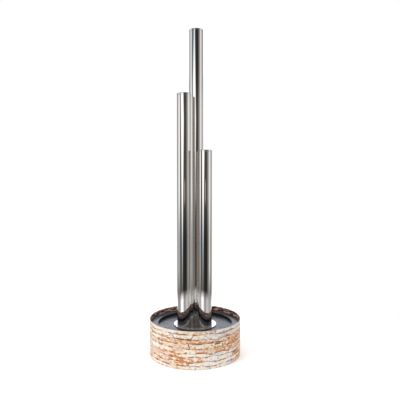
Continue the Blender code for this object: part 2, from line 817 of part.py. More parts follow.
def build_elbow(materials, body, name, centre):
    x, y, _ = centre
    spigot_profile = [
        (0.0, 0.160),
        (0.0050, 0.160),
        (0.0057, 0.156),
        (0.0057, FLANGE_TOP),
        (FLANGE_RADIUS, FLANGE_TOP),
        (FLANGE_RADIUS, PLATE_TOP + GAP),
        (THREAD_RADIUS, PLATE_TOP + GAP),
        (THREAD_RADIUS, HOSE_HEIGHT + 0.004),
        (0.0090, HOSE_HEIGHT - 0.004),
        (0.0060, HOSE_HEIGHT - 0.0085),
        (0.0, HOSE_HEIGHT - 0.0095),
    ]
    spigot = turned(f"{name}_elbow", spigot_profile, 12, materials["fitting_plastic"], closed=False)
    spigot.location = (x, y, 0)
    shoulder = (x, y - ELBOW_LENGTH, HOSE_HEIGHT)
    barb_tip = (x, y - ELBOW_LENGTH - BARB_LENGTH, HOSE_HEIGHT)
    bend = (x, y, HOSE_HEIGHT)
    past_tip = (x, barb_tip[1] - 0.005, HOSE_HEIGHT)
    fuse(
        spigot,
        rod(f"{name}_elbow_arm", bend, shoulder, 0.0072, 12),
        rod(f"{name}_elbow_barb", bend, barb_tip, BARB_RADIUS, 12),
    )
    cut(
        spigot,
        rod(f"{name}_upright_bore", bend, (x, y, 0.17), WATERWAY, 8),
        rod(f"{name}_level_bore", (x, y + 0.002, HOSE_HEIGHT), past_tip, WATERWAY - 0.0002, 8),
    )
    attach(spigot, body)

    half_flats = 0.0140

    def hexagon(angle):
        return half_flats / math.cos((angle % (math.pi / 3)) - math.pi / 6)

    nut_high = LID_UNDER - GAP
    nut = outlined_ring(
        f"{name}_back_nut", THREAD_HOLE_RADIUS, hexagon, nut_high - 0.008, nut_high, 24, materials["brass"]
    )
    nut.location = (x, y, 0)
    attach(nut, body)


def build_manifold(materials, body):
    low_end, high_end = MANIFOLD_ENDS
    axis = (MANIFOLD_Y, HOSE_HEIGHT)
    outlets = [centre.x for centre in spigot_centres()]
    manifold = rod(
        "manifold", (low_end, *axis), (high_end, *axis), 0.0110, 16, materials["fitting_plastic"]
    )
    inlet_tip = high_end + BARB_LENGTH
    fuse(manifold, rod("inlet_barb", (0.050, *axis), (inlet_tip, *axis), BARB_RADIUS, 14))
    for x, (name, _, _) in zip(outlets, TUBES):
        start = (x, MANIFOLD_Y + 0.001, HOSE_HEIGHT)
        shoulder = (x, OUTLET_SHOULDER_Y, HOSE_HEIGHT)
        tip = (x, OUTLET_SHOULDER_Y + BARB_LENGTH, HOSE_HEIGHT)
        boss_low = (x, VALVE_Y, HOSE_HEIGHT - 0.0090)
        boss_high = (x, VALVE_Y, VALVE_BOSS_TOP)
        fuse(
            manifold,
            rod(f"{name}_outlet", start, shoulder, 0.0074, 12),
            rod(f"{name}_valve_boss", boss_low, boss_high, 0.0082, 14),
            rod(f"{name}_barb", (x, VALVE_Y, HOSE_HEIGHT), tip, BARB_RADIUS, 12),
        )
    cut(
        manifold,
        rod("gallery", (low_end + 0.004, *axis), (high_end - 0.004, *axis), 0.0070, 12),
        rod("inlet_bore", (high_end - 0.010, *axis), (inlet_tip + 0.005, *axis), WATERWAY - 0.0003, 8),
    )
    for x, (name, _, _) in zip(outlets, TUBES):
        start = (x, MANIFOLD_Y, HOSE_HEIGHT)
        past_tip = (x, OUTLET_SHOULDER_Y + BARB_LENGTH + 0.005, HOSE_HEIGHT)
        seat_low = (x, VALVE_Y, HOSE_HEIGHT - 0.0066)
        seat_high = (x, VALVE_Y, VALVE_BOSS_TOP + 0.005)
        cut(
            manifold,
            rod(f"{name}_valve_seat", seat_low, seat_high, VALVE_RADIUS + GAP, 14),
            rod(f"{name}_outlet_bore", start, past_tip, WATERWAY, 8),
        )
    attach(manifold, body)

    for x, (name, _, _) in zip(outlets, TUBES):
        build_valve(materials, body, name, x)


def build_valve(materials, body, name, x):
    """Quarter-turn plug with a wing handle. The plug's waterway lines up with the outlet at rest."""
    empty = joint_empty(f"{name}_valve_axis", (x, VALVE_Y, HOSE_HEIGHT), body)
    bottom = HOSE_HEIGHT - 0.0063
    collar_low = VALVE_BOSS_TOP + GAP
    collar_high = collar_low + 0.002
    profile = [
        (0.0, collar_high),
        (0.0080, collar_high),
        (0.0080, collar_low),
        (VALVE_RADIUS, collar_low),
        (VALVE_RADIUS, bottom),
        (0.0, bottom),
    ]
    valve = turned(f"{name}_valve", profile, 14, materials["dial_blue"], closed=False)
    valve.location = (x, VALVE_Y, 0)
    wing_low = (x - 0.0017, VALVE_Y - 0.0085, collar_high - 0.0005)
    wing_high = (x + 0.0017, VALVE_Y + 0.0085, collar_high + 0.0070)
    fuse(valve, block(f"{name}_wing", wing_low, wing_high))
    way_start = (x, VALVE_Y - 0.02, HOSE_HEIGHT)
    way_end = (x, VALVE_Y + 0.02, HOSE_HEIGHT)
    cut(valve, rod(f"{name}_plug_way", way_start, way_end, WATERWAY - 0.0002, 8))
    attach(valve, empty)


def clip_outline(angle):
    """Radius of a hose clip's band, with a square lug for its screw on one side."""
    band, lug_reach, lug_half_width = 0.0080, 0.0115, 0.0034
    across = abs(math.cos(angle))
    if math.sin(angle) > 0 and across * lug_reach <= lug_half_width * math.sin(angle):
        return lug_reach / math.sin(angle)
    return band


def hose_clip(materials, body, name, centre, direction, lug_turn=0.0):
    clip = outlined_ring(
        name,
        HOSE_RADIUS + GAP,
        clip_outline,
        -CLIP_WIDTH / 2,
        CLIP_WIDTH / 2,
        16,
        materials["clip_steel"],
    )
    turn = Vector(direction).to_track_quat("Z", "Y").to_matrix() @ Matrix.Rotation(lug_turn, 3, "Z")
    clip.location = centre
    clip.rotation_euler = turn.to_euler()
    attach(clip, body)


def build_hoses(materials, body):
    clip_inset = 0.010
    for name, angle, _ in TUBES:
        centre = tube_centre(angle)
        start_y = OUTLET_SHOULDER_Y + GAP
        end_y = centre.y - ELBOW_LENGTH - GAP
        steps = 2
        route = [
            Vector((centre.x, start_y + (end_y - start_y) * i / steps, HOSE_HEIGHT)) for i in range(steps + 1)
        ]
        hose = swept_hose(f"{name}_hose", route, HOSE_BORE, HOSE_RADIUS, 12, materials["hose_vinyl"])
        attach(hose, body)
        lower = (centre.x, start_y + clip_inset, HOSE_HEIGHT)
        upper = (centre.x, end_y - clip_inset, HOSE_HEIGHT)
        hose_clip(materials, body, f"{name}_hose_clip_1", lower, (0, 1, 0), math.pi)
        hose_clip(materials, body, f"{name}_hose_clip_2", upper, (0, 1, 0), math.pi)

    # Feed hose: up off the pump's barb, round the right side, and level into the manifold's end.
    pump_end = NECK_TOP + 0.0026
    manifold_end = MANIFOLD_ENDS[1] + GAP
    route_points = [
        (OUTLET_X, PUMP_Y, pump_end),
        (OUTLET_X, PUMP_Y, 0.065),
        (OUTLET_X, PUMP_Y, 0.070),
        (0.0925, 0.0907, 0.0975),
        (0.1105, 0.0645, 0.1120),
        (0.1270, 0.0320, 0.1125),
        (0.1340, -0.0050, 0.1115),
        (0.1340, -0.0450, 0.1090),
        (0.1290, -0.0830, 0.1060),
        (0.1135, -0.1135, 0.1030),
        (0.0980, -0.1260, 0.1010),
        (0.0860, MANIFOLD_Y, HOSE_HEIGHT),
        (0.0805, MANIFOLD_Y, HOSE_HEIGHT),
        (manifold_end, MANIFOLD_Y, HOSE_HEIGHT),
    ]
    route = smooth_route(route_points, 2)
    hose = swept_hose("feed_hose", route, HOSE_BORE, HOSE_RADIUS, 12, materials["hose_vinyl"])
    attach(hose, body)
    pump_clip = (OUTLET_X, PUMP_Y, pump_end + 0.0045)
    manifold_clip = (manifold_end + 0.008, MANIFOLD_Y, HOSE_HEIGHT)
    hose_clip(materials, body, "feed_hose_clip_1", pump_clip, (0, 0, 1))
    hose_clip(materials, body, "feed_hose_clip_2", manifold_clip, (1, 0, 0), math.pi)


def build_materials():
    recipes = {
        "stone_effect_sheet": ((0.70, 0.57, 0.43), 0.55, 0.0),
        "galvanised_strip": ((0.45, 0.46, 0.47), 0.45, 1.0),
        "rivet_steel": ((0.60, 0.60, 0.61), 0.30, 1.0),
        "black_rubber": ((0.025, 0.025, 0.027), 0.75, 0.0),
        "black_tub_plastic": ((0.030, 0.031, 0.033), 0.55, 0.0),
        "lid_plastic": ((0.060, 0.063, 0.072), 0.50, 0.0),
        "polished_steel": ((0.78, 0.78, 0.79), 0.06, 1.0),
        "pump_plastic": ((0.035, 0.037, 0.042), 0.40, 0.0),
        "impeller_plastic": ((0.80, 0.80, 0.78), 0.45, 0.0),
        "magnet_grey": ((0.16, 0.16, 0.17), 0.50, 0.0),
        "white_ceramic": ((0.86, 0.85, 0.82), 0.25, 0.0),
        "dial_blue": ((0.06, 0.17, 0.42), 0.40, 0.0),
        "pipe_plastic": ((0.72, 0.73, 0.74), 0.35, 0.0),
        "fitting_plastic": ((0.050, 0.052, 0.056), 0.42, 0.0),
        "brass": ((0.72, 0.52, 0.22), 0.30, 1.0),
        "hose_vinyl": ((0.10, 0.105, 0.11), 0.35, 0.0),
        "clip_steel": ((0.62, 0.62, 0.63), 0.28, 1.0),
    }
    return {slot: make_material(slot, *values) for slot, values in recipes.items()}


def main():
    clear_scene()
    materials = build_materials()
    build_basin(materials)
    build_surround(materials)
    build_pump(materials)
    build_rotor(materials)
    build_flow_dial(materials)
    lid_body = joint_empty("lid_lift_axis", (0, 0, RIM_TOP))
    build_lid(materials, lid_body)
    build_plate(materials, lid_body)
    for name, angle, top in TUBES:
        build_tube(materials, lid_body, name, angle, top)
    build_manifold(materials, lid_body)
    build_hoses(materials, lid_body)


main()
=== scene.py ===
"""Looks of the three-tube water fountain: mirror-polished tubes on a round plate, a charcoal
reservoir lid with drain holes, and a short surround with a stacked-stone print."""

import json
import math
import random

import bmesh
import bpy
import numpy as np
from mathutils import Matrix, Vector


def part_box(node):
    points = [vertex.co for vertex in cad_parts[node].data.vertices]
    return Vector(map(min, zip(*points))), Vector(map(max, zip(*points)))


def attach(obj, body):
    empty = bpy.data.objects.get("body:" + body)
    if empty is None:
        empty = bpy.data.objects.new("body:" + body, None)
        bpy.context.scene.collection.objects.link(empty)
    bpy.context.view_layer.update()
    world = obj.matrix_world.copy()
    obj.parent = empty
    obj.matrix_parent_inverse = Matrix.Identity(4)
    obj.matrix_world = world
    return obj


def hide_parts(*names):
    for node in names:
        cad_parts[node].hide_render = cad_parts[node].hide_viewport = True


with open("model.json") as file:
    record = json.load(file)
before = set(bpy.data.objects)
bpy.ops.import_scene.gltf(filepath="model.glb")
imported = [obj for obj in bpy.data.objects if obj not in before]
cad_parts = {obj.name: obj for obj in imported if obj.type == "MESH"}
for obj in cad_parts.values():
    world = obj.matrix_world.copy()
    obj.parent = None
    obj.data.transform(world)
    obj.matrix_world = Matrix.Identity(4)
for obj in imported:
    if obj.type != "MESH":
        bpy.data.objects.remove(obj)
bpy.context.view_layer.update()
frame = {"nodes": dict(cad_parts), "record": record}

# Sizes read from the frame.
BAND_LOW, BAND_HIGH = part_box("surround_band")
BAND_RADIUS = (BAND_HIGH.x - BAND_LOW.x) / 2
BAND_HEIGHT = BAND_HIGH.z
PLATE_LOW, PLATE_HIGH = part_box("base_plate")
LID_LOW, LID_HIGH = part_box("reservoir_lid")
TUBE_NAMES = ("tall", "middle", "short")
GAP = 0.0003

# Angles in degrees past which an edge is shown sharp: turned pieces, and the rolled sheet.
TURNED_SHARP, SHEET_SHARP = 35, 40

# Holes drilled through plate and lid, from below both to above both.
DRILL_LOW, DRILL_HIGH = 0.12, 0.15
ELBOW_HOLE, SCREW_HOLE, DRAIN_HOLE = 0.0100, 0.0021, 0.003
DRAIN_ROWS, DRAINS_PER_ROW = (0.125, 0.143), 16

HEAD = "fountain_head"
RESERVOIR = "reservoir"


# --- geometry helpers --------------------------------------------------------------------------


def link(name, mesh, materials=()):
    obj = bpy.data.objects.new(name, mesh)
    bpy.context.scene.collection.objects.link(obj)
    for material in materials:
        mesh.materials.append(material)
    return obj


def mesh_from_bmesh(name, bm):
    bmesh.ops.recalc_face_normals(bm, faces=bm.faces[:])
    mesh = bpy.data.meshes.new(name)
    bm.to_mesh(mesh)
    bm.free()
    smooth(mesh, TURNED_SHARP)
    return mesh


def smooth(mesh, sharp_degrees):
    """Shade smooth, apart from edges that turn by more than the angle."""
    mesh.shade_smooth()
    mesh.set_sharp_from_angle(angle=math.radians(sharp_degrees))


def rounded(points, radius_at, steps=4):
    """A profile with arcs in place of the corners that radius_at names."""
    made = []
    for i, corner in enumerate(points):
        radius = radius_at.get(i, 0.0)
        corner = Vector(corner)
        if not radius:
            made.append(tuple(corner))
            continue
        before = (Vector(points[i - 1]) - corner).normalized()
        after = (Vector(points[(i + 1) % len(points)]) - corner).normalized()
        half = before.angle(after) / 2
        reach = radius / math.tan(half)
        start, end = corner + before * reach, corner + after * reach
        centre = corner + (before + after).normalized() * radius / math.sin(half)
        arm_start, arm_end = start - centre, end - centre
        turn = arm_start.angle_signed(arm_end)
        for k in range(steps + 1):
            a = -turn * k / steps
            made.append(
                (
                    centre.x + arm_start.x * math.cos(a) - arm_start.y * math.sin(a),
                    centre.y + arm_start.x * math.sin(a) + arm_start.y * math.cos(a),
                )
            )
    return made


def supported(profile, closed, inset=0.0004):
    """The profile with extra points near the ends of its long runs, which keep them truly straight
    when the corners are smoothed."""
    following = profile[1:] + profile[:1] if closed else profile[1:]
    made = []
    for point, after in zip(profile, following):
        start, end = Vector(point), Vector(after)
        made.append(point)
        if (end - start).length > 5 * inset:
            along = (end - start).normalized() * inset
            made += [tuple(start + along), tuple(end - along)]
    return made if closed else made + [profile[-1]]


def lathe_mesh(name, profile, segments, closed=True, centre=(0.0, 0.0)):
    """Turn (radius, height) points about Z. Points on the axis make a closed end."""
    profile = supported(profile, closed)
    angles = [math.tau * k / segments for k in range(segments)]
    bm = bmesh.new()
    rings = []
    for radius, height in profile:
        if radius < 1e-6:
            rings.append([bm.verts.new((centre[0], centre[1], height))])
            continue
        places = [(centre[0] + radius * math.cos(a), centre[1] + radius * math.sin(a)) for a in angles]
        rings.append([bm.verts.new((x, y, height)) for x, y in places])
    pairs = list(zip(rings, rings[1:]))
    if closed:
        pairs.append((rings[-1], rings[0]))
    for first, second in pairs:
        for k in range(segments):
            j = (k + 1) % segments
            around = ((first, k), (first, j), (second, j), (second, k))
            corners = [ring[i % len(ring)] for ring, i in around]
            unique = list(dict.fromkeys(corners))
            if len(unique) > 2:
                bm.faces.new(unique)
    return mesh_from_bmesh(name, bm)


def drill(obj, centres, radius, segments):
    """Cut upright round holes through plate or lid, and apply the cut."""
    bm = bmesh.new()
    for x, y in centres:
        bmesh.ops.create_cone(
            bm,
            cap_ends=True,
            segments=segments,
            radius1=radius,
            radius2=radius,
            depth=DRILL_HIGH - DRILL_LOW,
            matrix=Matrix.Translation((x, y, (DRILL_LOW + DRILL_HIGH) / 2)),
        )
    cut_with(obj, mesh_from_bmesh("drill", bm))


def cut_with(obj, cutter_mesh):
    cutter = link("cutter", cutter_mesh)
    modifier = obj.modifiers.new("cut", "BOOLEAN")
    modifier.operation = "DIFFERENCE"
    modifier.object = cutter
    apply_modifiers(obj)
    bpy.data.objects.remove(cutter, do_unlink=True)


def apply_modifiers(obj):
    graph = bpy.context.evaluated_depsgraph_get()
    mesh = bpy.data.meshes.new_from_object(obj.evaluated_get(graph))
    obj.modifiers.clear()
    obj.data = mesh


def stands_for(obj, node, body):
    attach(obj, body)
    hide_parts(node)


# --- material helpers --------------------------------------------------------------------------


# Places of a colour Mix node's sockets, whose names repeat.
MIX_FIRST, MIX_SECOND, MIX_RESULT = 6, 7, 2


class Nodes:
    """A node material under construction, with short calls for the nodes used here."""

    def __init__(self, name):
        self.material = bpy.data.materials.new(name)
        self.material.use_nodes = True
        self.tree = self.material.node_tree
        self.shader = self.tree.nodes["Principled BSDF"]

    def add(self, kind, **settings):
        node = self.tree.nodes.new(kind)
        for key, value in settings.items():
            setattr(node, key, value)
        return node

    def join(self, source, target):
        self.tree.links.new(source, target)

    def put(self, socket, value):
        """Set a shader input to a number or colour, or link it to a node's output."""
        target = self.shader.inputs[socket] if isinstance(socket, str) else socket
        if isinstance(value, bpy.types.NodeSocket):
            self.join(value, target)
        elif target.type == "RGBA":
            target.default_value = (*value, 1.0)
        else:
            target.default_value = value

    def coordinates(self, kind="Object", scale=(1, 1, 1)):
        source = self.add("ShaderNodeTexCoord").outputs[kind]
        mapping = self.add("ShaderNodeMapping")
        mapping.inputs["Scale"].default_value = scale
        self.join(source, mapping.inputs["Vector"])
        return mapping.outputs["Vector"]

    def noise(self, vector, scale, detail=4.0, roughness=0.5, distortion=0.0):
        node = self.add("ShaderNodeTexNoise")
        self.join(vector, node.inputs["Vector"])
        for key, value in (
            ("Scale", scale),
            ("Detail", detail),
            ("Roughness", roughness),
            ("Distortion", distortion),
        ):
            node.inputs[key].default_value = value
        return node.outputs["Fac"]

    def ramp(self, value, stops):
        node = self.add("ShaderNodeValToRGB")
        fill_ramp(node.color_ramp, stops)
        self.join(value, node.inputs["Fac"])
        return node.outputs["Color"]

    def range(self, value, low, high, to_low=0.0, to_high=1.0, smooth=False):
        node = self.add("ShaderNodeMapRange", interpolation_type="SMOOTHSTEP" if smooth else "LINEAR")
        self.join(value, node.inputs["Value"])
        for key, number in (
            ("From Min", low),
            ("From Max", high),
            ("To Min", to_low),
            ("To Max", to_high),
        ):
            node.inputs[key].default_value = number
        return node.outputs["Result"]

    def math(self, operation, *values):
        node = self.add("ShaderNodeMath", operation=operation)
        for socket, value in zip(node.inputs, values):
            self.put(socket, value)
        return node.outputs["Value"]

    def mix(self, factor, first, second):
        node = self.add("ShaderNodeMix", data_type="RGBA")
        self.put(node.inputs["Factor"], factor)
        self.put(node.inputs[MIX_FIRST], first)
        self.put(node.inputs[MIX_SECOND], second)
        return node.outputs[MIX_RESULT]

    def attribute(self, name):
        return self.add("ShaderNodeAttribute", attribute_name=name).outputs["Fac"]

    def bump(self, height, strength, distance):
        node = self.add("ShaderNodeBump")
        node.inputs["Strength"].default_value = strength
        node.inputs["Distance"].default_value = distance
        self.join(height, node.inputs["Height"])
        return node.outputs["Normal"]


def fill_ramp(ramp, stops):
    while len(ramp.elements) > 1:
        ramp.elements.remove(ramp.elements[-1])
    for number, (position, colour) in enumerate(stops):
        element = ramp.elements[0] if number == 0 else ramp.elements.new(position)
        element.position = position
        element.color = (*colour, 1.0)


def srgb(red, green, blue):
    """Linear colour from display values of 0 to 255."""

    def linear(value):
        value /= 255
        return value / 12.92 if value <= 0.04045 else ((value + 0.055) / 1.055) ** 2.4

    return linear(red), linear(green), linear(blue)


# --- camera, floor and studio ------------------------------------------------------------------


SENSOR_WIDTH, FOCAL_LENGTH = 36.0, 41.2
CAMERA_PLACE, CAMERA_DROOP = (0.0225, -2.085, 0.785), 2.30


def make_camera():
    data = bpy.data.cameras.new("camera")
    data.sensor_width = SENSOR_WIDTH
    data.lens = FOCAL_LENGTH
    camera = bpy.data.objects.new("camera", data)
    camera.location = CAMERA_PLACE
    camera.rotation_euler = (math.radians(90 - CAMERA_DROOP), 0.0, 0.0)
    bpy.context.scene.collection.objects.link(camera)
    bpy.context.scene.camera = camera


def tone(value, warmth=0):
    """Display grey, warmer or cooler by a few steps."""
    return srgb(value + warmth, value, value - warmth)


# Brightness of the room round the horizon, as (degrees to the right of the front, colour). The
# first list is what the steel sees well below eye level, the second level, the third above it.
# The tones were fitted to the reflections in one photograph. They suit this object's
# tubes, and aren't a general studio.
ROOM_BELOW = (
    (-180, tone(40)),
    (-139, tone(50)),
    (-131, tone(200)),
    (-122, tone(170)),
    (-108, tone(150)),
    (-88, tone(165, 2)),
    (-72, tone(165, 3)),
    (-67, tone(66, 4)),
    (-52, tone(74, 5)),
    (-44, tone(96, 4)),
    (-30, tone(80, 3)),
    (-4, tone(38, 4)),
    (30, tone(34, 4)),
    (42, tone(58, 4)),
    (54, tone(120, 4)),
    (72, tone(146, 3)),
    (84, tone(236, 2)),
    (94, tone(220, 2)),
    (103, tone(100, 2)),
    (115, tone(104)),
    (124, tone(215)),
    (133, tone(200)),
    (142, tone(52)),
    (180, tone(40)),
)
ROOM_LEVEL = (
    (-180, tone(40)),
    (-139, tone(50)),
    (-131, tone(180)),
    (-124, tone(150)),
    (-112, tone(212)),
    (-94, tone(205)),
    (-84, tone(246, 2)),
    (-71, tone(236, 2)),
    (-67, tone(64, 4)),
    (-52, tone(70, 4)),
    (-40, tone(110, 4)),
    (-6, tone(80, 4)),
    (10, tone(64, 5)),
    (28, tone(62, 5)),
    (44, tone(112, 5)),
    (60, tone(165, 4)),
    (76, tone(206, 3)),
    (86, tone(246, 2)),
    (98, tone(224, 2)),
    (104, tone(130, 2)),
    (114, tone(135)),
    (124, tone(222)),
    (133, tone(205)),
    (142, tone(52)),
    (180, tone(40)),
)
ROOM_ABOVE = (
    (-180, tone(40)),
    (-134, tone(44)),
    (-126, tone(170)),
    (-118, tone(205)),
    (-96, tone(208)),
    (-71, tone(196)),
    (-67, tone(64)),
    (-50, tone(64)),
    (-40, tone(130)),
    (-10, tone(70)),
    (6, tone(40, 3)),
    (28, tone(36, 4)),
    (42, tone(88, 7)),
    (60, tone(140, 7)),
    (74, tone(212, 2)),
    (90, tone(216)),
    (104, tone(178)),
    (122, tone(150)),
    (130, tone(165)),
    (137, tone(44)),
    (180, tone(40)),
)
# Where each list gives way to the next and the ceiling and its light begin, as heights of a ray's
# direction: -1 straight down, 1 straight up.
BELOW_TO_LEVEL, LEVEL_TO_ABOVE = (-0.14, -0.01), (0.15, 0.24)
ABOVE_TO_CEILING, CEILING_TO_OVERHEAD = (0.42, 0.56), (0.80, 0.86)
CEILING = (0.16, 0.16, 0.17)
OVERHEAD = (3.3, 3.3, 3.3)
BACKDROP = (2.3, 2.4, 2.6)
OVERHEAD_HIDDEN = 0.88
SHARP_RAYS, EVEN_SHARE = 2, 0.8
STEEL_SHARE = 1 / 0.76


def bright(colour):
    """The light that polished steel shows as this colour."""
    return tuple(STEEL_SHARE * channel for channel in colour)


class World:
    """The world's node tree under construction, with short calls for the nodes used here."""

    def __init__(self, name):
        world = bpy.data.worlds.new(name)
        world.use_nodes = True
        bpy.context.scene.world = world
        self.tree = world.node_tree
        self.background = self.tree.nodes["Background"]
        split = self.tree.nodes.new("ShaderNodeSeparateXYZ")
        coordinates = self.tree.nodes.new("ShaderNodeTexCoord")
        self.tree.links.new(coordinates.outputs["Generated"], split.inputs["Vector"])
        self.height = split.outputs["Z"]
        forward = self.math("MULTIPLY", split.outputs["Y"], -1.0)
        angle = self.math("ARCTAN2", split.outputs["X"], forward)
        self.degrees = self.math("MULTIPLY", angle, 180 / math.pi)
        self.turn = self.math("ADD", self.math("DIVIDE", angle, math.tau), 0.5)

    def put(self, socket, value):
        if isinstance(value, bpy.types.NodeSocket):
            self.tree.links.new(value, socket)
        elif isinstance(value, tuple):
            socket.default_value = (*value, 1.0)
        else:
            socket.default_value = value

    def math(self, operation, *values):
        node = self.tree.nodes.new("ShaderNodeMath")
        node.operation = operation
        for socket, value in zip(node.inputs, values):
            self.put(socket, value)
        return node.outputs["Value"]

    def step(self, value, low, high):
        """Smooth step from 0 at low to 1 at high. Low may be above high."""
        node = self.tree.nodes.new("ShaderNodeMapRange")
        node.interpolation_type = "SMOOTHSTEP"
        self.put(node.inputs["Value"], value)
        if low < high:
            node.inputs["From Min"].default_value = low
            node.inputs["From Max"].default_value = high
            return node.outputs["Result"]
        node.inputs["From Min"].default_value = high
        node.inputs["From Max"].default_value = low
        return self.math("SUBTRACT", 1.0, node.outputs["Result"])

    def mix(self, factor, first, second):
        node = self.tree.nodes.new("ShaderNodeMix")
        node.data_type = "RGBA"
        self.put(node.inputs["Factor"], factor)
        self.put(node.inputs[MIX_FIRST], first)
        self.put(node.inputs[MIX_SECOND], second)
        return node.outputs[MIX_RESULT]

    def room(self, stops):
        node = self.tree.nodes.new("ShaderNodeValToRGB")
        colours = [((angle + 180) / 360, bright(colour)) for angle, colour in stops]
        fill_ramp(node.color_ramp, colours)
        self.tree.links.new(self.turn, node.inputs["Fac"])
        return node.outputs["Color"]

    def line(self, start, slope):
        """An edge in the room that leans: its angle in degrees at each height."""
        return self.math("ADD", self.math("MULTIPLY", self.height, slope), start)

    def band(self, start, low, high, end):
        """1 between the low and high heights, 0 below the start and above the end."""
        above, below = self.step(self.height, start, low), self.step(self.height, end, high)
        return self.math("MULTIPLY", above, below)

    def panel(self, left, right, soft):
        """1 between two edges, 0 outside them."""
        inside_left = self.step(self.math("SUBTRACT", self.degrees, left), -soft, soft)
        inside_right = self.step(self.math("SUBTRACT", right, self.degrees), -soft, soft)
        return self.math("MULTIPLY", inside_left, inside_right)


def make_world():
    """A white studio seen directly, and in reflections a room with a soft light and dark gaps."""
    world = World("studio")
    level = world.step(world.height, *BELOW_TO_LEVEL)
    around = world.mix(level, world.room(ROOM_BELOW), world.room(ROOM_LEVEL))
    around = world.mix(world.step(world.height, *LEVEL_TO_ABOVE), around, world.room(ROOM_ABOVE))

    # Low down, the room is darker to each side.
    turn = world.math("ABSOLUTE", world.degrees)
    sides = world.math("MULTIPLY", world.step(turn, 56, 78), world.step(turn, 132, 122))
    sides = world.math("MULTIPLY", sides, world.step(world.height, -0.18, -0.25))
    around = world.mix(world.math("MULTIPLY", sides, 0.75), around, bright(srgb(84, 80, 77)))

    # The tall soft light left of the camera: it leans, and goes blue low down.
    left = world.math("MAXIMUM", world.line(-43, -55), world.line(-83, 139))
    right = world.math("MINIMUM", world.line(-13, 72), world.line(10, -102))
    blue, white = bright(srgb(176, 208, 226)), bright(srgb(255, 255, 255))
    glow = world.mix(world.step(world.height, -0.16, -0.02), blue, white)
    glow = world.mix(world.step(world.height, 0.22, 0.32), glow, bright(srgb(206, 236, 246)))
    around = world.mix(world.panel(left, right, 2.0), around, glow)

    # A small brown lamp in the dark gap, the white backdrop behind, the ceiling and its light.
    lamp = world.panel(world.line(2, 0), world.line(18, 0), 3.0)
    lamp = world.math("MULTIPLY", lamp, world.band(-0.060, -0.034, -0.008, 0.012))
    around = world.mix(lamp, around, bright(srgb(150, 132, 122)))
    behind = world.step(turn, 160, 166)
    behind = world.math("MULTIPLY", behind, world.step(world.height, 0.20, 0.24))
    around = world.mix(behind, around, BACKDROP)

    # From the third ray on, the room is mostly an even grey. This isn't physical: it keeps grain
    # out of mirrors seen in mirrors.
    rays = world.tree.nodes.new("ShaderNodeLightPath").outputs
    again = world.math("GREATER_THAN", rays["Ray Depth"], SHARP_RAYS + 0.5)
    again = world.math("MULTIPLY", again, EVEN_SHARE)
    around = world.mix(again, around, bright(srgb(152, 144, 138)))
    around = world.mix(world.step(world.height, *ABOVE_TO_CEILING), around, CEILING)

    # The overhead light is dimmer in reflections than as a light, which isn't physical either.
    lamps = world.math("MULTIPLY_ADD", rays["Is Glossy Ray"], -OVERHEAD_HIDDEN, 1.0)
    lamps = world.math("MULTIPLY", lamps, world.step(world.height, *CEILING_TO_OVERHEAD))
    around = world.mix(lamps, around, OVERHEAD)

    # Seen directly, the room is plain white.
    shown = world.mix(rays["Is Camera Ray"], around, (1.0, 1.0, 1.0))
    world.tree.links.new(shown, world.background.inputs["Color"])
    bpy.context.scene.view_settings.view_transform = "Standard"


def make_floor():
    """White sheet that fades out where the white room takes over, sooner to each side."""
    sheet_radius, fade_start, fade_end = 1.5, 0.95, 1.28
    side_start, side_end = 0.42, 0.54
    side_stops = (
        (-140, 0.9),
        (-118, 0.15),
        (-78, 0.15),
        (-62, 0.5),
        (-50, 1.0),
        (-22, 1.0),
        (-8, 0.3),
        (14, 0.25),
        (28, 0.5),
        (56, 0.45),
        (70, 0.2),
        (104, 0.15),
        (124, 0.8),
    )
    bm = bmesh.new()
    bmesh.ops.create_circle(bm, cap_ends=True, segments=96, radius=sheet_radius)
    floor = link("floor", mesh_from_bmesh("floor", bm))
    floor.location = (0.0, -0.06, -0.0004)
    paint = Nodes("floor_white")
    spot = paint.add("ShaderNodeVectorMath", operation="LENGTH")
    paint.join(paint.coordinates(), spot.inputs[0])
    split = paint.add("ShaderNodeSeparateXYZ")
    paint.join(paint.coordinates(), split.inputs[0])
    forward = paint.math("MULTIPLY", split.outputs["Y"], -1.0)
    angle = paint.math("DEGREES", paint.math("ARCTAN2", split.outputs["X"], forward))
    stops = [((degrees + 180) / 360, (share,) * 3) for degrees, share in side_stops]
    side = paint.ramp(paint.range(angle, -180, 180), stops)
    beside = paint.range(spot.outputs["Value"], side_start, side_end, smooth=True)
    kept = paint.mix(beside, (1.0, 1.0, 1.0), side)
    fade = paint.range(spot.outputs["Value"], fade_start, fade_end, smooth=True)
    paper = paint.noise(paint.coordinates(), 420.0, 3.0)
    paint.put("Base Color", (0.93, 0.93, 0.935))
    paint.put("Roughness", 0.62)
    paint.put("Specular IOR Level", 0.15)
    paint.put("Alpha", paint.math("MULTIPLY", paint.math("SUBTRACT", 1.0, fade), kept))
    paint.put("Normal", paint.bump(paper, 0.04, 0.0004))
    floor.data.materials.append(paint.material)


def area_light(name, location, target, size, power, colour=(1.0, 1.0, 1.0)):
    data = bpy.data.lights.new(name, "AREA")
    data.shape = "DISK"
    data.size = size
    data.energy = power
    data.color = colour
    light = bpy.data.objects.new(name, data)
    light.location = location
    light.rotation_euler = (Vector(target) - Vector(location)).to_track_quat("-Z", "Y").to_euler()
    light.visible_glossy = False
    bpy.context.scene.collection.objects.link(light)


def make_lights():
    area_light("key_light", (-1.6, -1.4, 2.5), (0, 0, 0.2), 1.1, 30.0, (1.0, 0.985, 0.965))


# --- materials ---------------------------------------------------------------------------------


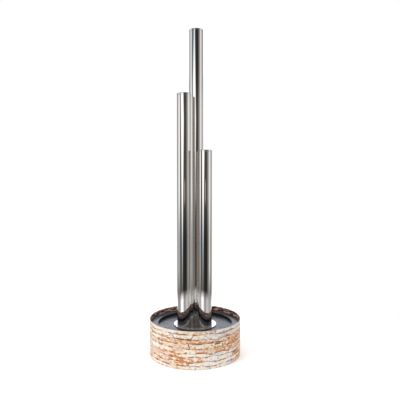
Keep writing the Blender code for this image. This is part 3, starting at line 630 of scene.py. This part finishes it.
def polished_steel():
    """Mirror finish, with faint smudges and hardly any length-wise polishing lines."""
    paint = Nodes("polished_steel")
    lines = paint.noise(paint.coordinates(scale=(1.0, 1.0, 0.012)), 520.0, 3.0, 0.6)
    smudge = paint.noise(paint.coordinates(scale=(1.0, 1.0, 0.35)), 9.0, 4.0, 0.6)
    steel = paint.ramp(smudge, ((0.3, (0.765, 0.757, 0.745)), (0.7, (0.80, 0.797, 0.79))))
    paint.put("Base Color", steel)
    paint.put("Metallic", 1.0)
    paint.put("Roughness", paint.range(smudge, 0.45, 0.75, 0.010, 0.026))
    paint.put("Normal", paint.bump(lines, 0.001, 0.0002))
    return paint.material


# Radii of the painted dark reflection round the plate's centre: where it is full, and where it ends.
PAINTED_REFLECTION_RADIUS, PAINTED_REFLECTION_END = 0.064, 0.078


def plate_steel():
    """Flat polished plate, a darker mirror than the tubes, with a painted dark reflection between them.
    """
    paint = Nodes("plate_steel")
    smudge = paint.noise(paint.coordinates(), 30.0, 5.0, 0.6)
    spot = paint.add("ShaderNodeVectorMath", operation="LENGTH")
    flat = paint.add("ShaderNodeMapping")
    flat.inputs["Scale"].default_value = (1.0, 1.0, 0.0)
    paint.join(paint.coordinates(), flat.inputs["Vector"])
    paint.join(flat.outputs["Vector"], spot.inputs[0])
    # Painted reflection: inside the first radius the base colour goes near black, standing in for the
    # tubes' dark sides seen in the plate.
    past_painted_reflection = paint.range(spot.outputs["Value"], PAINTED_REFLECTION_RADIUS, PAINTED_REFLECTION_END, smooth=True)
    polish = paint.ramp(smudge, ((0.3, (0.40, 0.40, 0.41)), (0.7, (0.47, 0.47, 0.47))))
    paint.put("Base Color", paint.mix(past_painted_reflection, (0.12, 0.12, 0.125), polish))
    paint.put("Metallic", 1.0)
    paint.put("Roughness", paint.range(smudge, 0.3, 0.7, 0.05, 0.10))
    paint.put("Normal", paint.bump(smudge, 0.02, 0.0003))
    return paint.material


def moulded_plastic(name, colour, roughness, grain=900.0, strength=0.25):
    """Injection-moulded plastic with a fine spark-eroded grain and slight wear."""
    paint = Nodes(name)
    place = paint.coordinates()
    fine = paint.noise(place, grain, 3.0, 0.6)
    broad = paint.noise(place, 14.0, 5.0, 0.6)
    dark = tuple(c * 0.86 for c in colour)
    light = tuple(min(1.0, c * 1.16) for c in colour)
    paint.put("Base Color", paint.ramp(broad, ((0.3, dark), (0.7, light))))
    paint.put("Roughness", paint.range(broad, 0.35, 0.7, roughness - 0.04, roughness + 0.06))
    paint.put("Normal", paint.bump(fine, strength, 0.0003))
    return paint.material


def plain_metal(name, colour, roughness, stretch=(1, 1, 1), scale=300.0):
    """Drawn or turned metal, with brushing along its length."""
    paint = Nodes(name)
    lines = paint.noise(paint.coordinates(scale=stretch), scale, 4.0, 0.6)
    broad = paint.noise(paint.coordinates(), 40.0, 3.0)
    dark = tuple(c * 0.85 for c in colour)
    paint.put("Base Color", paint.ramp(broad, ((0.3, dark), (0.65, colour))))
    paint.put("Metallic", 1.0)
    paint.put("Roughness", paint.range(lines, 0.3, 0.7, roughness - 0.06, roughness + 0.08))
    paint.put("Normal", paint.bump(lines, 0.10, 0.0002))
    return paint.material


def lid_plastic():
    """Charcoal moulded lid: fine grain and faint water marks, with painted shade on its upright faces.
    """
    paint = Nodes("lid_plastic")
    place = paint.coordinates()
    fine = paint.noise(place, 700.0, 3.0, 0.65)
    marks = paint.noise(place, 26.0, 6.0, 0.62, 0.6)
    stops = ((0.32, srgb(30, 32, 38)), (0.55, srgb(42, 45, 53)), (0.74, srgb(64, 68, 80)))
    # Painted shade: faces that turn away from level get a near-black base colour.
    normal = paint.add("ShaderNodeSeparateXYZ")
    paint.join(paint.add("ShaderNodeNewGeometry").outputs["Normal"], normal.inputs[0])
    level = paint.range(normal.outputs["Z"], 0.3, 0.9, smooth=True)
    paint.put("Base Color", paint.mix(level, srgb(12, 12, 15), paint.ramp(marks, stops)))
    paint.put("Roughness", paint.range(marks, 0.3, 0.72, 0.24, 0.38))
    paint.put("Specular IOR Level", 0.42)
    paint.put("Normal", paint.bump(fine, 0.22, 0.0003))
    return paint.material


def dark_cracks(paint, place, ragged):
    """Mask of the few dark cracks under stones. Each sags along its length and climbs at its ends."""
    split = paint.add("ShaderNodeSeparateXYZ")
    paint.join(place, split.inputs[0])
    along_sheet = split.outputs["X"]
    height = paint.math("ADD", split.outputs["Y"], paint.range(ragged, 0.3, 0.7, -0.022, 0.022))
    total = None
    for start, end, level, sag, left_climb, right_climb in DARK_CRACKS:
        along = paint.range(along_sheet, unrolled(start), unrolled(end))
        arch = paint.math("SINE", paint.math("MULTIPLY", along, math.pi))
        path = paint.math("ADD", paint.math("MULTIPLY", arch, -sag * 10), level * 10)
        path = paint.math("ADD", path, paint.range(along, 0.13, 0.0, 0.0, left_climb * 10))
        path = paint.math("ADD", path, paint.range(along, 0.87, 1.0, 0.0, right_climb * 10))
        away = paint.math("ABSOLUTE", paint.math("SUBTRACT", height, path))
        from_middle = paint.math("ABSOLUTE", paint.math("SUBTRACT", along, 0.5))
        inside = paint.math("LESS_THAN", from_middle, 0.499)
        mask = paint.math("MULTIPLY", paint.range(away, 0.026, 0.010, smooth=True), inside)
        total = mask if total is None else paint.math("MAXIMUM", total, mask)
    return total


def stone_print():
    """Printed ledge stone: cream and white courses, mottled and edged with rust."""
    paint = Nodes("stone_print")
    flat = paint.coordinates("UV", (1.0, 2.1, 1.0))
    square = paint.coordinates("UV")
    tone_shift, warmth = paint.attribute("stone_tone"), paint.attribute("stone_warmth")
    drop, joint = paint.attribute("course_drop"), paint.attribute("joint_near")
    patch = paint.attribute("rust_patch")

    clouds = paint.noise(flat, 1.9, 4.0, 0.55)
    mottle = paint.noise(flat, 5.0, 6.0, 0.62, 0.8)
    strokes = paint.noise(paint.coordinates("UV", (1.0, 1.9, 1.0)), 8.0, 5.0, 0.62, 0.6)
    region = paint.noise(square, 0.75, 2.0, 0.5)
    grain = paint.noise(paint.coordinates("UV", (1.0, 1.5, 1.0)), 9.0, 6.0, 0.66)

    # Pale stone: grey-white, white, cream and a little pink, mostly by clouds and partly by stone.
    pale = paint.math("MULTIPLY", tone_shift, 0.55)
    pale = paint.math("ADD", pale, paint.range(clouds, 0.3, 0.7, -0.05, 0.45))
    base = paint.ramp(
        pale,
        (
            (0.0, srgb(202, 210, 222)),
            (0.24, srgb(244, 241, 238)),
            (0.42, srgb(248, 236, 216)),
            (0.6, srgb(236, 212, 182)),
            (0.78, srgb(226, 188, 172)),
            (1.0, srgb(224, 176, 138)),
        ),
    )

    # Rust mottling: more in some regions and some stones, and towards each stone's lower edge.
    amount = paint.math("ADD", mottle, paint.range(drop, 0.0, 0.5, 0.12, -0.03, smooth=True))
    amount = paint.math("ADD", amount, paint.range(warmth, 0.0, 1.0, -0.06, 0.05))
    amount = paint.math("ADD", amount, paint.range(region, 0.35, 0.65, -0.06, 0.06))
    amount = paint.math("ADD", amount, patch)
    rust = paint.ramp(
        strokes,
        (
            (0.34, srgb(96, 48, 28)),
            (0.41, srgb(160, 84, 38)),
            (0.48, srgb(216, 126, 40)),
            (0.56, srgb(244, 168, 66)),
            (0.64, srgb(242, 192, 122)),
            (0.74, srgb(198, 144, 122)),
        ),
    )
    tan = paint.mix(0.55, base, srgb(232, 182, 122))
    colour = paint.mix(paint.range(amount, 0.47, 0.53, 0.0, 0.8, smooth=True), base, tan)
    colour = paint.mix(paint.range(amount, 0.54, 0.585, 0.0, 1.0, smooth=True), colour, rust)

    # Pale upper lip of each stone, dark specks, and chalky flecks.
    lip = paint.range(drop, 0.74, 0.93, smooth=True)
    lip = paint.math("MULTIPLY", lip, paint.range(strokes, 0.62, 0.45))
    colour = paint.mix(paint.math("MULTIPLY", lip, 0.6), colour, srgb(248, 245, 238))
    colour = paint.mix(paint.range(grain, 0.56, 0.64, 0.0, 0.85), colour, srgb(158, 92, 52))
    colour = paint.mix(paint.range(grain, 0.45, 0.37, 0.0, 0.95), colour, srgb(255, 253, 250))

    # Joints: a rust halo of uneven width round a thin brown line that comes and goes.
    reach = paint.range(mottle, 0.42, 0.60, 0.0005, 0.0046)
    halo = paint.range(paint.math("DIVIDE", joint, reach), 1.0, 0.35, smooth=True)
    edge_stops = ((0.36, srgb(104, 54, 30)), (0.5, srgb(196, 102, 38)), (0.62, srgb(232, 150, 74)))
    colour = paint.mix(paint.math("MULTIPLY", halo, 0.8), colour, paint.ramp(strokes, edge_stops))
    core = paint.range(joint, 0.0028, 0.0010, smooth=True)
    core = paint.math("MULTIPLY", core, paint.range(mottle, 0.40, 0.54, 0.1, 1.0))
    colour = paint.mix(core, colour, srgb(92, 46, 24))
    colour = paint.mix(dark_cracks(paint, square, strokes), colour, srgb(70, 44, 38))
    colour = paint.mix(paint.attribute("maroon_patch"), colour, srgb(112, 54, 50))

    paint.put("Base Color", colour)
    paint.put("Roughness", paint.range(grain, 0.3, 0.7, 0.50, 0.64))
    paint.put("Specular IOR Level", 0.35)
    relief = paint.math("ADD", grain, paint.math("MULTIPLY", mottle, 1.5))
    paint.put("Normal", paint.bump(relief, 0.28, 0.0006))
    return paint.material


def stone_print_painted_shade():
    """Inner side of the surround: the stone print in painted shade, dark brown with pale slanting
    patches.
    """
    paint = Nodes("stone_print_painted_shade")
    slanted = paint.add("ShaderNodeMapping")
    slanted.inputs["Rotation"].default_value = (0.0, 0.0, math.radians(24))
    slanted.inputs["Scale"].default_value = (1.0, 3.0, 1.0)
    paint.join(paint.add("ShaderNodeTexCoord").outputs["UV"], slanted.inputs["Vector"])
    flash = paint.noise(slanted.outputs["Vector"], 4.2, 3.0, 0.5, 0.8)
    clouds = paint.noise(paint.coordinates("UV"), 6.0, 5.0, 0.6)
    # Painted shade: the whole inner face of the print is coloured dark brown, with the pale patches
    # lighter.
    painted_shade_browns = ((0.3, srgb(48, 26, 20)), (0.5, srgb(92, 50, 36)), (0.72, srgb(136, 80, 56)))
    brown = paint.ramp(clouds, painted_shade_browns)
    colour = paint.mix(paint.range(flash, 0.485, 0.545, smooth=True), brown, srgb(250, 212, 192))
    paint.put("Base Color", colour)
    paint.put("Roughness", 0.34)
    paint.put("Normal", paint.bump(clouds, 0.1, 0.0004))
    return paint.material


def sheet_edge():
    paint = Nodes("sheet_edge")
    place = paint.coordinates()
    broad = paint.noise(place, 30.0, 4.0)
    paint.put("Base Color", paint.ramp(broad, ((0.3, srgb(214, 200, 182)), (0.7, srgb(240, 230, 216)))))
    paint.put("Roughness", 0.5)
    paint.put("Normal", paint.bump(paint.noise(place, 600.0), 0.1, 0.0002))
    return paint.material


# --- surround ----------------------------------------------------------------------------------

SEAM_ANGLE = math.radians(125)
COLUMNS = 960
COURSE_TOPS = (0.0, 0.014, 0.031, 0.051, 0.066, 0.088, 0.108, 0.126, 0.147, 0.162)
ROW_STEPS = (0.0, 0.06, 0.16, 0.34, 0.56, 0.78, 0.93)
JOINT_DEPTH, JOINT_REACH = 0.00035, 0.0022
SHEET_THICKNESS, BUTT_GAP = 0.001, 0.0004
PRINT_UNIT = 0.1  # metres of sheet to one unit of its UV map

# Faces of the sheet by material: printed outside, inside, and cut edges.
OUTSIDE, INSIDE, EDGE = 0, 1, 2

# Dark cracks under a few stones: start and end in degrees, height, sag, climb at each end.
DARK_CRACKS = (
    (-118, -91, 0.132, 0.005, 0.012, 0.013),
    (-66, -58, 0.105, 0.001, 0.000, 0.006),
    (18, 38, 0.090, 0.004, 0.006, 0.010),
    (74, 96, 0.130, 0.004, 0.010, 0.004),
    (158, 176, 0.072, 0.003, 0.000, 0.012),
    (-176, -160, 0.110, 0.004, 0.010, 0.010),
)

# Where rust is heavier or lighter: degrees, height, half width in degrees, half height, gain.
RUST_PATCHES = (
    (-102, 0.043, 27, 0.009, 0.10),
    (-120, 0.062, 12, 0.009, 0.06),
    (-82, 0.111, 19, 0.0035, 0.15),
    (-133, 0.129, 9, 0.004, 0.13),
    (-105, 0.142, 13, 0.008, -0.20),
    (-64, 0.122, 15, 0.006, -0.15),
    (-118, 0.100, 14, 0.006, -0.05),
    (-44, 0.060, 12, 0.010, -0.14),
    (-60, 0.020, 30, 0.013, -0.16),
    (-104, 0.026, 12, 0.005, 0.08),
    (-92, 0.006, 50, 0.006, -0.10),
    (-36, 0.098, 11, 0.012, 0.07),
    (-28, 0.145, 12, 0.008, -0.05),
    (-90, 0.157, 75, 0.006, -0.12),
)
MAROON_PATCHES = (
    (-31, 0.045, 7, 0.005, 0.9),
    (64, 0.030, 8, 0.006, 0.7),
    (150, 0.120, 9, 0.005, 0.6),
)


def unrolled(degrees):
    """Distance along the sheet from its joint, in print units, at an angle round the ring."""
    return (math.radians(degrees) - SEAM_ANGLE) % math.tau * BAND_RADIUS / PRINT_UNIT


def patch_sum(patches, angles, heights):
    degrees = np.degrees(angles)
    total = np.zeros_like(heights)
    for centre, height, half_width, half_height, gain in patches:
        across = ((degrees - centre + 180) % 360 - 180) / half_width
        total += gain * np.exp(-(across[None, :] ** 4) - ((heights - height) / half_height) ** 4)
    return total


class StoneCourses:
    """Layout of the printed stones: wavy courses, each split into stones of uneven length."""

    def __init__(self, seed):
        pick = random.Random(seed)
        self.waves, self.fades = [], []
        for _ in COURSE_TOPS:
            self.waves.append(
                [
                    (pick.uniform(0.0004, 0.0013), pick.randint(2, 17), pick.uniform(0, math.tau))
                    for _ in range(5)
                ]
            )
            self.fades.append([(pick.randint(5, 40), pick.uniform(0, math.tau)) for _ in range(3)])
        self.stones = []
        for _ in COURSE_TOPS[1:]:
            angles, angle = [], pick.uniform(0.0, 0.3)
            while angle < math.tau - 0.16:
                angles.append(angle)
                angle += pick.uniform(0.26, 0.95)
            strengths = [pick.choice((0.12, 0.2, 0.35, 1.0)) for _ in angles]
            leans = [pick.uniform(-0.05, 0.05) for _ in angles]
            tones = [pick.random() for _ in angles]
            warmths = [pick.random() ** 1.3 for _ in angles]
            self.stones.append([np.array(row) for row in (angles, strengths, leans, tones, warmths)])

    def edge(self, number, angles):
        """Height of a course's edge. The surround's own edges are straight."""
        height = np.full_like(angles, COURSE_TOPS[number])
        if 0 < number < len(COURSE_TOPS) - 1:
            for size, turns, phase in self.waves[number]:
                height = height + size * np.sin(turns * angles + phase)
        return height

    def strength(self, number, angles):
        """How plain a course's edge is, from 0.25 to 1."""
        waves = sum(np.sin(turns * angles + phase) for turns, phase in self.fades[number])
        return 0.25 + 0.75 / (1 + np.exp(-1.6 * waves))

    def stone(self, course, angles, step):
        """(tone, warmth, distance to the nearer upright joint) at these angles."""
        joints, strengths, leans, tones, warmths = self.stones[course]
        placed = joints[None, :] + leans[None, :] * (step - 0.5)
        offset = (angles[:, None] - placed + math.pi) % math.tau - math.pi
        side_gap = (np.abs(offset) * BAND_RADIUS / strengths[None, :]).min(axis=1)
        index = np.where(offset >= 0, offset, math.tau).argmin(axis=1)
        return tones[index], warmths[index], side_gap


def build_surround(outer_material, inner_material, edge_material):
    """Rolled sheet with a butt joint, whose outer face follows the courses of the print."""
    half_gap = BUTT_GAP / 2 / BAND_RADIUS
    angles = np.linspace(SEAM_ANGLE + half_gap, SEAM_ANGLE + math.tau - half_gap, COLUMNS + 1)
    courses = StoneCourses(7)
    rows = [(course, step) for course in range(len(COURSE_TOPS) - 1) for step in ROW_STEPS]
    rows.append((len(COURSE_TOPS) - 2, 1.0))

    heights, tones, warmths, drops, joints = [], [], [], [], []
    for course, step in rows:
        low, high = courses.edge(course, angles), courses.edge(course + 1, angles)
        height = low + (high - low) * step
        tones_here, warmths_here, side_gap = courses.stone(course, angles, step)
        gap_below = (height - low) / courses.strength(course, angles)
        gap_above = (high - height) / courses.strength(course + 1, angles)
        if course == 0:
            gap_below = gap_above
        if course == len(COURSE_TOPS) - 2:
            gap_above = gap_below
        heights.append(height)
        tones.append(tones_here)
        warmths.append(warmths_here)
        drops.append(np.full_like(angles, step))
        joints.append(np.minimum(np.minimum(gap_below, gap_above), side_gap))
    heights, joints = np.array(heights), np.array(joints)

    sunk = JOINT_DEPTH * np.clip(1 - joints / JOINT_REACH, 0, 1)
    sunk[0] = sunk[-1] = 0.0
    radius = BAND_RADIUS - sunk
    outer = np.stack([radius * np.cos(angles), radius * np.sin(angles), heights], axis=-1)
    inner_rows = 13
    inner_radius = BAND_RADIUS - SHEET_THICKNESS
    inner = np.stack(
        [
            np.stack(
                [
                    inner_radius * np.cos(angles),
                    inner_radius * np.sin(angles),
                    np.full_like(angles, BAND_HEIGHT * (1 - k / (inner_rows - 1))),
                ],
                axis=-1,
            )
            for k in range(inner_rows)
        ]
    )
    grid = np.concatenate([outer, inner])
    row_count, column_count = grid.shape[:2]

    faces, materials = [], []
    ids = np.arange(row_count * column_count).reshape(row_count, column_count)
    for r in range(row_count):
        following = (r + 1) % row_count
        if r < len(rows) - 1:
            kind = OUTSIDE
        elif r == len(rows) - 1 or following == 0:
            kind = EDGE
        else:
            kind = INSIDE
        quad = np.stack([ids[r, :-1], ids[r, 1:], ids[following, 1:], ids[following, :-1]], axis=-1)
        faces.append(quad)
        materials.append(np.full(len(quad), kind))
    faces, materials = np.concatenate(faces), np.concatenate(materials)

    mesh = bpy.data.meshes.new("surround")
    faces = [list(map(int, face)) for face in faces]
    materials = list(map(int, materials))
    for end, order in ((0, 1), (column_count - 1, -1)):
        loop = [int(ids[r, end]) for r in range(len(rows))]
        loop += [int(ids[len(rows) + k, end]) for k in range(inner_rows)]
        faces.append(loop[::order])
        materials.append(EDGE)
    mesh.from_pydata(grid.reshape(-1, 3).tolist(), [], faces)
    mesh.polygons.foreach_set("material_index", materials)

    def spread(name, values):
        full = np.zeros((row_count, column_count), np.float32)
        full[: len(rows)] = values
        mesh.attributes.new(name, "FLOAT", "POINT").data.foreach_set("value", full.ravel())

    spread("stone_tone", np.array(tones))
    spread("stone_warmth", np.array(warmths))
    spread("course_drop", np.array(drops))
    spread("joint_near", joints)
    spread("rust_patch", patch_sum(RUST_PATCHES, angles, heights))
    spread("maroon_patch", patch_sum(MAROON_PATCHES, angles, heights))

    arc = (angles - angles[0]) * BAND_RADIUS / PRINT_UNIT
    rise = grid[..., 2] / PRINT_UNIT
    point_uv = np.stack([np.broadcast_to(arc, ids.shape), rise], axis=-1).reshape(-1, 2)
    corner_points = np.empty(len(mesh.loops), np.int32)
    mesh.loops.foreach_get("vertex_index", corner_points)
    layer = mesh.uv_layers.new(name="unrolled")
    layer.data.foreach_set("uv", point_uv[corner_points].astype(np.float32).ravel())
    mesh.validate()
    smooth(mesh, SHEET_SHARP)
    band = link("surround_print", mesh, (outer_material, inner_material, edge_material))
    stands_for(band, "surround_band", RESERVOIR)


# --- tubes, plate and lid ----------------------------------------------------------------------

TUBE_WALL = CAP_WALL = 0.0012
CAP_THICKNESS, COLLAR_DEPTH = 0.0030, 0.0200
WATER_OUTLET = 0.0083


def tube_axis(name):
    low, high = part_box(f"{name}_tube")
    return (low.x + high.x) / 2, (low.y + high.y) / 2


def build_tube(name, steel):
    low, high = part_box(f"{name}_tube")
    centre = tube_axis(name)
    outer = (high.x - low.x) / 2
    inner = outer - TUBE_WALL
    points = [(outer, high.z), (outer, low.z), (inner, low.z), (inner, high.z)]
    profile = rounded(points, {0: 0.0004, 1: 0.0003, 3: 0.0002}, 3)
    mesh = lathe_mesh(f"{name}_tube_skin", profile, 160, centre=centre)
    stands_for(link(f"{name}_tube_skin", mesh, (steel,)), f"{name}_tube", HEAD)

    cap_low, cap_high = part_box(f"{name}_cap")
    top, joint = cap_high.z, high.z + GAP
    skirt = inner - GAP
    hole = WATER_OUTLET
    collar = hole + 0.0022
    points = [
        (hole, top - 0.0004),
        (outer, top),
        (outer, joint),
        (skirt, joint),
        (skirt, cap_low.z),
        (skirt - CAP_WALL, cap_low.z),
        (skirt - CAP_WALL, top - CAP_THICKNESS),
        (collar, top - CAP_THICKNESS),
        (collar, top - COLLAR_DEPTH),
        (hole, top - COLLAR_DEPTH),
    ]
    profile = rounded(points, {0: 0.0008, 1: 0.0024, 2: 0.0003}, 6)
    mesh = lathe_mesh(f"{name}_cap_skin", profile, 160, centre=centre)
    stands_for(link(f"{name}_cap_skin", mesh, (steel,)), f"{name}_cap", HEAD)


def build_plate(steel):
    radius = (PLATE_HIGH.x - PLATE_LOW.x) / 2
    points = [(0.0, PLATE_HIGH.z), (radius, PLATE_HIGH.z), (radius, PLATE_LOW.z), (0.0, PLATE_LOW.z)]
    profile = rounded(points, {1: 0.0008, 2: 0.0003}, 4)
    plate = link("plate_skin", lathe_mesh("plate_skin", profile, 160, closed=False), (steel,))
    screws = []
    for number in (1, 2, 3):
        low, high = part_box(f"plate_screw_{number}")
        screws.append(((low.x + high.x) / 2, (low.y + high.y) / 2))
    drill(plate, screws, SCREW_HOLE, 20)
    drill(plate, [tube_axis(name) for name in TUBE_NAMES], ELBOW_HOLE, 40)
    smooth(plate.data, TURNED_SHARP)
    stands_for(plate, "base_plate", HEAD)


def build_lid(plastic):
    top, rim = LID_HIGH.z, (LID_HIGH.x - LID_LOW.x) / 2
    floor, under = 0.1295, 0.127
    tray, rest = 0.168, 0.1393
    rib = LID_LOW.z + 0.0075
    points = [
        (0.0, floor),
        (tray - 0.0015, floor),
        (tray, top),
        (rim, top),
        (rim, rest),
        (0.1922, rest),
        (0.1917, rib),
        (0.1895, rib),
        (0.1892, rest),
        (tray + 0.0036, rest),
        (tray + 0.0010, under),
        (0.0, under),
    ]
    profile = rounded(points, {1: 0.0020, 2: 0.0016, 3: 0.0012, 9: 0.0008, 10: 0.0012}, 5)
    lid = link("lid_moulding", lathe_mesh("lid_moulding", profile, 192, closed=False), (plastic,))
    turns = [math.tau * k / DRAINS_PER_ROW for k in range(DRAINS_PER_ROW)]
    drains = [(row * math.cos(a), row * math.sin(a)) for row in DRAIN_ROWS for a in turns]
    drill(lid, drains, DRAIN_HOLE, 20)
    drill(lid, [tube_axis(name) for name in TUBE_NAMES], ELBOW_HOLE, 32)
    smooth(lid.data, TURNED_SHARP)
    stands_for(lid, "reservoir_lid", HEAD)


# --- carried-over nodes ------------------------------------------------------------------------


def paint_frame(steel):
    """Give every CAD node that still shows its own finish."""
    finishes = {
        "black_tub_plastic": moulded_plastic("tub_plastic", (0.022, 0.023, 0.025), 0.46, 650.0, 0.3),
        "black_rubber": moulded_plastic("black_rubber", (0.014, 0.014, 0.015), 0.72, 500.0, 0.4),
        "pump_plastic": moulded_plastic("pump_plastic", (0.024, 0.026, 0.030), 0.36, 1100.0, 0.22),
        "impeller_plastic": moulded_plastic("impeller_nylon", (0.72, 0.71, 0.67), 0.42, 900.0, 0.1),
        "magnet_grey": moulded_plastic("magnet_ferrite", (0.085, 0.085, 0.090), 0.55, 700.0, 0.2),
        "white_ceramic": moulded_plastic("shaft_ceramic", (0.80, 0.78, 0.74), 0.20, 1200.0, 0.05),
        "dial_blue": moulded_plastic("valve_blue", (0.030, 0.095, 0.300), 0.34, 1000.0, 0.12),
        "pipe_plastic": moulded_plastic("riser_plastic", (0.60, 0.61, 0.62), 0.30, 900.0, 0.06),
        "fitting_plastic": moulded_plastic("fitting_plastic", (0.028, 0.029, 0.032), 0.40, 900.0, 0.2),
        "hose_vinyl": moulded_plastic("hose_vinyl", (0.040, 0.042, 0.045), 0.28, 400.0, 0.08),
        "galvanised_strip": plain_metal("galvanised_strip", (0.46, 0.47, 0.48), 0.42, (1, 1, 1), 60.0),
        "rivet_steel": plain_metal("bright_steel", (0.62, 0.62, 0.63), 0.26),
        "clip_steel": plain_metal("clip_steel", (0.66, 0.66, 0.67), 0.24),
        "brass": plain_metal("nut_brass", (0.70, 0.50, 0.20), 0.30),
        "polished_steel": steel,
        "lid_plastic": None,
        "stone_effect_sheet": None,
    }
    for entry in frame["record"]["subparts"]:
        material = finishes[entry["material_slot"]]
        node = frame["nodes"][entry["node"]]
        if material is None or node.hide_render:
            continue
        node.data.materials.clear()
        node.data.materials.append(material)


# --- assembly ----------------------------------------------------------------------------------


make_camera()
make_world()
make_floor()
make_lights()

STEEL = polished_steel()
build_surround(stone_print(), stone_print_painted_shade(), sheet_edge())
for tube in TUBE_NAMES:
    build_tube(tube, STEEL)
build_plate(plate_steel())
build_lid(lid_plastic())
paint_frame(STEEL)
